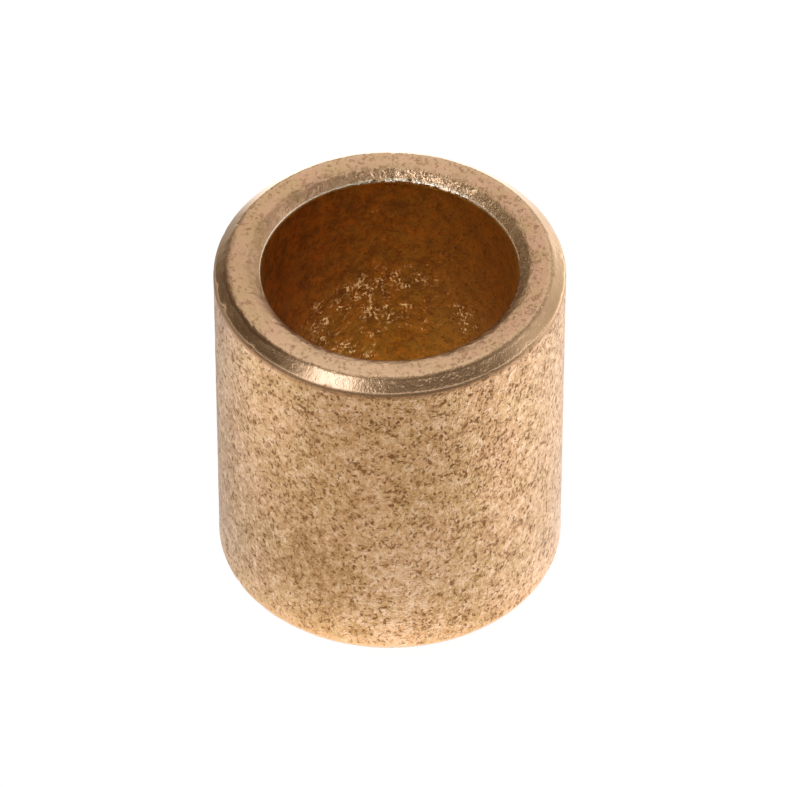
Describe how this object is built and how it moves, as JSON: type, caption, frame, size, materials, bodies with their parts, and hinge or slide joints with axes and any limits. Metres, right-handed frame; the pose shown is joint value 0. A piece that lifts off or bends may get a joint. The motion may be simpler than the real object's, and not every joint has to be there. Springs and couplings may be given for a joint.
{
  "type": "sleeve bushing",
  "caption": "Plain cylindrical sleeve bushing of sintered bronze, with a straight through bore and a chamfer on every rim.",
  "frame": {"origin": "centre of the lower end face, on the bore axis", "axes": "+Z along the bore axis, from the lower end face to the upper one; X and Y are alike"},
  "size_m": [0.011, 0.011, 0.012],
  "materials": {
    "sintered_bronze": "satin sintered bronze with open pores and burnished chamfers"
  },
  "bodies": {
    "root": {"sleeve": "sintered_bronze"}
  },
  "joints": []
}
